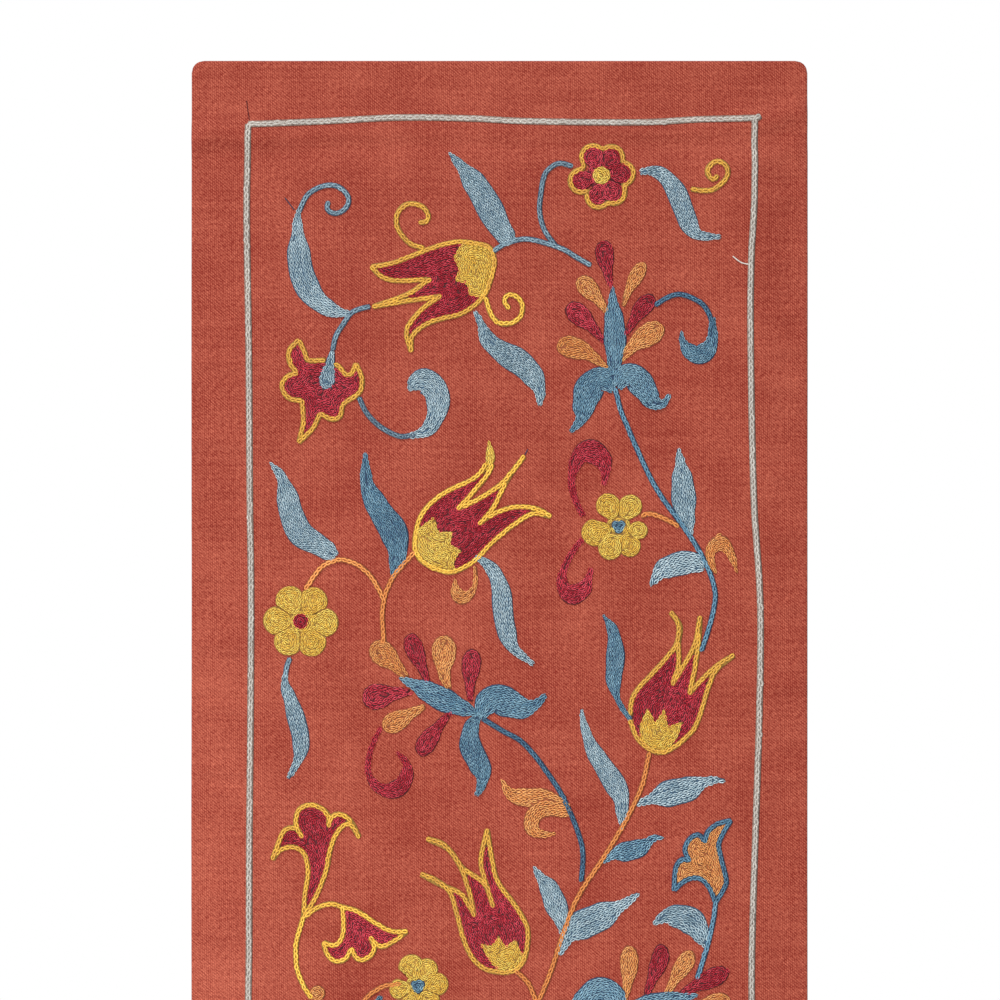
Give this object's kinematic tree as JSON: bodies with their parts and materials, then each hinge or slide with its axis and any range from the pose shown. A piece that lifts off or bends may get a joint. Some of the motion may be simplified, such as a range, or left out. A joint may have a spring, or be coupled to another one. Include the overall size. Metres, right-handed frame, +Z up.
{
  "type": "wall hanging",
  "caption": "Narrow upright embroidered cloth hanging, hemmed all round, with chain stitched flowers and leaves inside a stitched border line.",
  "frame": {"origin": "middle of the hanging's top edge, at the plane of its back", "axes": "+Z up, the embroidered face looks towards -Y, +X to the right seen from the front"},
  "size_m": [0.4, 0.009, 1.27],
  "materials": {
    "cloth": "terracotta cotton twill, matt, with chain stitch in silky thread"
  },
  "bodies": {
    "root": {"cloth": "cloth"}
  },
  "joints": []
}
